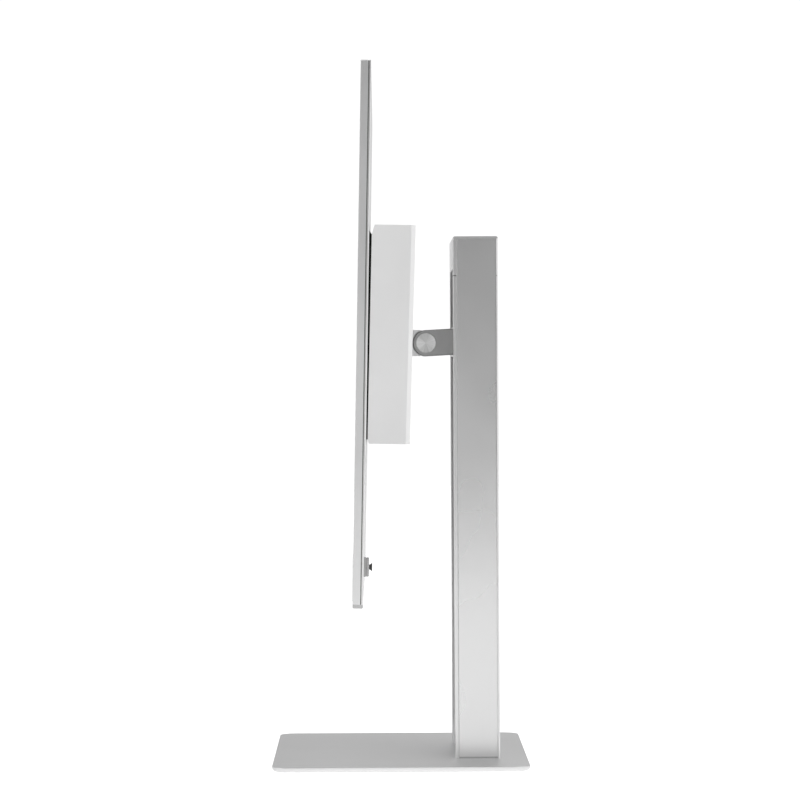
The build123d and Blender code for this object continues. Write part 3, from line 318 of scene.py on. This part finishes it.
# Steel, mostly hidden.
dress(machined_steel("plated_steel", (0.62, 0.63, 0.65), 0.32, along("Z", 0.05)), "base_screws",
      "column_foot", "upper_bracket", "bracket_screws", "friction_washers", "rear_tray", "chassis_plate",
      "chassis_screws", "hinge_bracket", "standoffs")
dress(machined_steel("ground_rod", (0.75, 0.75, 0.76), 0.14, along("Z", 0.02)), "guide_rods",
      "gas_spring_rod", "pivot_shaft")
dress(machined_steel("black_oxide", (0.05, 0.05, 0.052), 0.38, along("Z", 0.2)),
      "gas_spring_cylinder", "arm_screws", "knuckle_screws")
dress(machined_steel("nickel_shell", (0.66, 0.64, 0.60), 0.28, along("X", 0.1)), "video_ports",
      "data_ports")

# Boards, sheets and films.
dress(circuit_board("circuit_board"), "main_board", "power_board", "timing_board", "source_board",
      "led_bar")
dress(clear_sheet("clear_acrylic", (0.90, 0.93, 0.94), 0.08), "light_guide", "power_light")
dress(plain_film("white_film", grey(0.86)), "optical_sheets", "reflector_sheet", "display_cable")
dress(plain_film("amber_film", (0.42, 0.22, 0.05)), "driver_films")

# Materials of the fittings below.
seal_rubber = moulded_plastic("seal_rubber", grey(0.10), 0.7)
strip_rubber = moulded_plastic("strip_rubber", grey(0.42), 0.7)
joint_filler = moulded_plastic("joint_filler", grey(0.55), 0.7)
lip_plastic = moulded_plastic("lip_plastic", grey(0.78), 0.6)
lip_foam = foam("lip_foam", grey(0.03))
contact_gold = machined_steel("contact_gold", (0.83, 0.62, 0.28), 0.25, along("Z", 0.1))


# ---------------------------------------------------------------- how the fittings are made
def upright(x, y, z):
    """A point in millimetres, left as drawn, in metres."""
    return Vector((x, y, z)) * MM


def leaned(x, y, z):
    """A point drawn on the upright head, in millimetres, leaned back with it about the hinge, in metres."""
    point = Vector((x, y, z)) * MM - PIVOT
    return PIVOT + Matrix.Rotation(-HEAD_LEAN, 3, "X") @ point


def millimetres(node):
    """The lowest and highest corner of a CAD node, in millimetres."""
    low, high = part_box(node)
    return low / MM, high / MM


def add_piece(name, body, material, build):
    """Turns a finished bmesh into a piece that rides on a body."""
    bmesh.ops.recalc_face_normals(build, faces=build.faces)
    mesh = bpy.data.meshes.new(name)
    build.to_mesh(mesh)
    build.free()
    mesh.materials.append(material)
    piece = bpy.data.objects.new(name, mesh)
    bpy.context.scene.collection.objects.link(piece)
    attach(piece, body)


def fitting(name, body, material, solids, place):
    """Makes one piece from a list of closed solids, each a bottom loop and a top loop of corners."""
    build = bmesh.new()
    for low, high in solids:
        below = [build.verts.new(place(*corner)) for corner in low]
        above = [build.verts.new(place(*corner)) for corner in high]
        build.faces.new(below[::-1])
        build.faces.new(above)
        for i in range(len(below)):
            j = (i + 1) % len(below)
            build.faces.new((below[i], below[j], above[j], above[i]))
    add_piece(name, body, material, build)


def hoop(name, body, material, outer, inner, depth, place):
    """A closed rectangular ring in the XZ plane: outer and inner are (half width, low, high)."""
    front, back = depth
    build = bmesh.new()
    rows = []
    for (half, low, high), y in ((outer, front), (outer, back), (inner, back), (inner, front)):
        corners = ((-half, low), (half, low), (half, high), (-half, high))
        rows.append([build.verts.new(place(x, y, z)) for x, z in corners])
    for row, following in zip(rows, rows[1:] + rows[:1]):
        for i in range(len(row)):
            j = (i + 1) % len(row)
            build.faces.new((row[i], row[j], following[j], following[i]))
    add_piece(name, body, material, build)


def block(x, y, z):
    """A block between limits, as a bottom and a top loop."""
    loop = [(x[0], y[0]), (x[1], y[0]), (x[1], y[1]), (x[0], y[1])]
    return [(*corner, z[0]) for corner in loop], [(*corner, z[1]) for corner in loop]


def both_sides(x, y, z):
    """A block right of the middle, and its mirror image."""
    inner, outer = x
    return [block((-outer, -inner), y, z), block((inner, outer), y, z)]


# ---------------------------------------------------------------- sizes of the fittings, in millimetres
# Of the head, drawn upright.
PANEL_LOW, PANEL_HIGH = 137.4, 509.8                         # the metal frame's lower and upper edge
PANEL_HALF = millimetres("panel_frame")[1].x
GROOVE_FRONT, GROOVE_BACK, GROOVE_DEPTH = -25.0, -24.4, 1.2
SEAL_SUNK = 0.45
GASKET_HALF = millimetres("gasket")[1].x
FOAM_EDGE = ((-23.13, 397.1), (-21.35, 397.1), (-22.95, 399.7))      # (y, z) corners of its section
SOCKET_MIDDLES = (114.0, 131.0)
TONGUE_FACE, SOCKET_MOUTH = -11.45, 244.4
CONTACTS, CONTACT_PITCH, CONTACT_HALF, CONTACT_THICK = 4, 2.4, 0.6, 0.15
CONTACT_NEAR, CONTACT_FAR = 2.4, 10.0                        # from the socket's mouth

# Of the column.
BASE_TOP = millimetres("base_plate")[1].z
COLUMN_FRONT = millimetres("column_frame")[0].y
COVER_LOW, COVER_HIGH = millimetres("column_side_left")
SEAL_X = COVER_LOW.x + 0.10                                  # inner face of the seals and fillers
SEAL_WIDTH, SEAL_END_GAP = 0.50, 0.15
FILLER_SUNK, FILLER_DEPTH, FILLER_TOP_GAP = 0.15, 0.33, 0.05
FILLER_BACK = COVER_LOW.y - 0.01                             # just clear of the side cover's front edge
SLOT_HALF, LIP_TOP = 42.0, 374.6
LIP_WIDTH, LIP_FRONT, LIP_BACK = 0.7, 0.5, 2.1               # front and back from the column's front face


# ---------------------------------------------------------------- fittings
def panel_outline(inset):
    """The panel's half width and its lower and upper edge, all drawn in by a distance."""
    return PANEL_HALF - inset, PANEL_LOW + inset, PANEL_HIGH - inset


def foam_edge():
    """A wedge along the gasket's upper edge, from one end of it to the other."""
    return [[(x, y, z) for y, z in FOAM_EDGE] for x in (-GASKET_HALF, GASKET_HALF)]


def socket_contacts():
    """Strips side by side on the tongue of each data socket."""
    strips = []
    for middle in SOCKET_MIDDLES:
        for step in range(CONTACTS):
            x = middle + (step - (CONTACTS - 1) / 2) * CONTACT_PITCH
            strips.append(block((x - CONTACT_HALF, x + CONTACT_HALF),
                                (TONGUE_FACE, TONGUE_FACE + CONTACT_THICK),
                                (SOCKET_MOUTH + CONTACT_NEAR, SOCKET_MOUTH + CONTACT_FAR)))
    return strips


# The dark filler that shows in the groove round the panel, between frame and rear cover.
hoop("groove_seal", "head", seal_rubber, panel_outline(SEAL_SUNK), panel_outline(GROOVE_DEPTH),
     (GROOVE_FRONT, GROOVE_BACK), leaned)

# Rubber strips that the column's side covers stand on.
fitting("side_cover_seals", "stand", strip_rubber,
        both_sides((SEAL_X, SEAL_X + SEAL_WIDTH), (COVER_LOW.y + SEAL_END_GAP, COVER_HIGH.y - SEAL_END_GAP),
                   (BASE_TOP, COVER_LOW.z)), upright)

# Thin filler in the joint between each front rail and side cover.
fitting("side_joint_fillers", "stand", joint_filler,
        both_sides((SEAL_X, COVER_HIGH.x - FILLER_SUNK), (FILLER_BACK - FILLER_DEPTH, FILLER_BACK),
                   (COVER_LOW.z, COVER_HIGH.z - FILLER_TOP_GAP)), upright)

# The foam's free upper edge, which fills the foot of the wedge between panel and housing.
fitting("gasket_lip", "head", lip_foam, [foam_edge()], leaned)

# Soft grey lips down both edges of the column's slot.
fitting("slot_lips", "stand", lip_plastic,
        both_sides((SLOT_HALF - LIP_WIDTH, SLOT_HALF), (COLUMN_FRONT + LIP_FRONT, COLUMN_FRONT + LIP_BACK),
                   (BASE_TOP, LIP_TOP)), upright)

# Gold contact strips on the tongues of the data sockets.
fitting("data_contacts", "head", contact_gold, socket_contacts(), leaned)


# ---------------------------------------------------------------- studio
FLOOR_HALF = 6.0
FLOOR_GLOW_NEAR, FLOOR_GLOW_FAR, FLOOR_GLOW_SEEN = 0.32, 0.75, 0.85
FAR_START, FAR_END = -0.9, -1.8                              # where the floor's glow rises, along X


def floor():
    """A plain white floor. It lights the monitor, more strongly from far behind it, and stays white where
    it is looked at, with only a soft contact shadow."""
    mesh = bpy.data.meshes.new("floor")
    corners = [(x * FLOOR_HALF, y * FLOOR_HALF, 0) for x, y in ((-1, -1), (1, -1), (1, 1), (-1, 1))]
    mesh.from_pydata(corners, [], [(0, 1, 2, 3)])
    obj = bpy.data.objects.new("floor", mesh)
    bpy.context.scene.collection.objects.link(obj)
    s = Shader("floor_white", Base_Color=grey(0.92), Roughness=0.9, Specular_IOR_Level=0.0,
               Emission_Color=grey(1.0))
    split = s.add("ShaderNodeSeparateXYZ")
    s.link(s.coords.outputs["Object"], split.inputs["Vector"])
    unseen = s.remap(split.outputs["X"], (FAR_END, FAR_START), (FLOOR_GLOW_FAR, FLOOR_GLOW_NEAR))
    path = s.add("ShaderNodeLightPath")
    glow = s.add("ShaderNodeMapRange")
    glow.inputs["To Max"].default_value = FLOOR_GLOW_SEEN
    s.link(unseen, glow.inputs["To Min"])
    s.link(path.outputs["Is Camera Ray"], glow.inputs["Value"])
    s.link(glow.outputs["Result"], s.bsdf.inputs["Emission Strength"])
    mesh.materials.append(s.material)


def sky(horizon, behind, near, above, seen):
    """A plain studio surround. It is white where it is looked at, and as a light it is bright behind the
    monitor, brightest along the horizon there, dimmer on the viewer's side and in between overhead."""
    world = bpy.data.worlds.new("surround")
    bpy.context.scene.world = world
    world.use_nodes = True
    tree = world.node_tree
    tree.nodes.clear()

    def node(kind, **values):
        made = tree.nodes.new(kind)
        for key, value in values.items():
            made.inputs[key.replace("_", " ")].default_value = value
        return made

    coords = node("ShaderNodeTexCoord")
    split = node("ShaderNodeSeparateXYZ")
    tree.links.new(coords.outputs["Generated"], split.inputs["Vector"])

    # Straight behind the monitor and close to the horizon: from the horizon's tone to the one behind.
    straight = node("ShaderNodeMapRange", From_Min=-0.998, From_Max=-0.98, To_Min=horizon, To_Max=behind)
    tree.links.new(split.outputs["X"], straight.inputs["Value"])
    lift = node("ShaderNodeMapRange", From_Min=0.04, From_Max=0.12, To_Max=behind)
    tree.links.new(split.outputs["Z"], lift.inputs["Value"])
    tree.links.new(straight.outputs["Result"], lift.inputs["To Min"])

    # From behind the monitor round to the viewer's side, and then up to the ceiling.
    side = node("ShaderNodeMapRange", From_Min=-0.5, From_Max=0.3, To_Max=near)
    tree.links.new(split.outputs["X"], side.inputs["Value"])
    tree.links.new(lift.outputs["Result"], side.inputs["To Min"])
    rise = node("ShaderNodeMapRange", From_Min=0.35, From_Max=0.9)
    tree.links.new(split.outputs["Z"], rise.inputs["Value"])
    tone = node("ShaderNodeMix", B=above)
    tree.links.new(rise.outputs["Result"], tone.inputs["Factor"])
    tree.links.new(side.outputs["Result"], tone.inputs["A"])

    # The camera sees white, whatever the surround's tone as a light.
    lit = node("ShaderNodeBackground", Color=(1, 1, 1, 1))
    tree.links.new(tone.outputs["Result"], lit.inputs["Strength"])
    white = node("ShaderNodeBackground", Color=(1, 1, 1, 1), Strength=seen)
    mix = node("ShaderNodeMixShader")
    path = node("ShaderNodeLightPath")
    out = node("ShaderNodeOutputWorld")
    tree.links.new(path.outputs["Is Camera Ray"], mix.inputs[0])
    tree.links.new(lit.outputs[0], mix.inputs[1])
    tree.links.new(white.outputs[0], mix.inputs[2])
    tree.links.new(mix.outputs[0], out.inputs["Surface"])


def softbox(name, place, target, size, watts):
    """A rectangular area light aimed at a point, which the camera doesn't see."""
    light = bpy.data.lights.new(name, "AREA")
    light.shape = "RECTANGLE"
    light.size, light.size_y = size
    light.energy = watts
    obj = bpy.data.objects.new(name, light)
    bpy.context.scene.collection.objects.link(obj)
    obj.location = place
    obj.rotation_euler = (Vector(target) - Vector(place)).to_track_quat("-Z", "Y").to_euler()
    obj.visible_camera = False


MIDDLE = (0, 0, 0.25)
LOW_CARD_HEIGHT = 0.045
floor()
sky(horizon=1.25, behind=0.60, near=0.20, above=0.36, seen=1.05)
softbox("left_box", (1.2, -1.4, 1.0), MIDDLE, size=(1.9, 1.9), watts=14.5)
softbox("right_box", (1.2, 1.4, 1.0), MIDDLE, size=(1.9, 1.9), watts=6.0)
softbox("top_box", (0.8, 1.0, 1.8), MIDDLE, size=(2.2, 2.2), watts=9.5)
softbox("low_card", (1.0, 0.0, LOW_CARD_HEIGHT), (0, 0, LOW_CARD_HEIGHT), size=(2.0, 0.075), watts=0.30)
softbox("rear_card", (0.25, 1.5, 0.35), (0, 0, 0.3), size=(0.7, 0.9), watts=1.4)


# ---------------------------------------------------------------- camera
EYE = (2.557, -0.0165, 0.2977)
LENS, SHIFT = 148.5, (0.0289, -0.03575)
ROLL = math.radians(0.30)


def camera():
    """Looks along -X at the monitor's right side, level, from three quarters of the way up the column."""
    data = bpy.data.cameras.new("camera")
    data.sensor_width = 36.0
    data.lens = LENS
    data.shift_x, data.shift_y = SHIFT
    data.clip_start, data.clip_end = 0.05, 60.0
    obj = bpy.data.objects.new("camera", data)
    bpy.context.scene.collection.objects.link(obj)
    aim = Vector((-1, 0, 0)).to_track_quat("-Z", "Y").to_matrix().to_4x4()
    obj.matrix_world = Matrix.Translation(EYE) @ aim @ Matrix.Rotation(-ROLL, 4, "Z")
    bpy.context.scene.camera = obj


camera()
bpy.context.scene.view_settings.view_transform = "Standard"
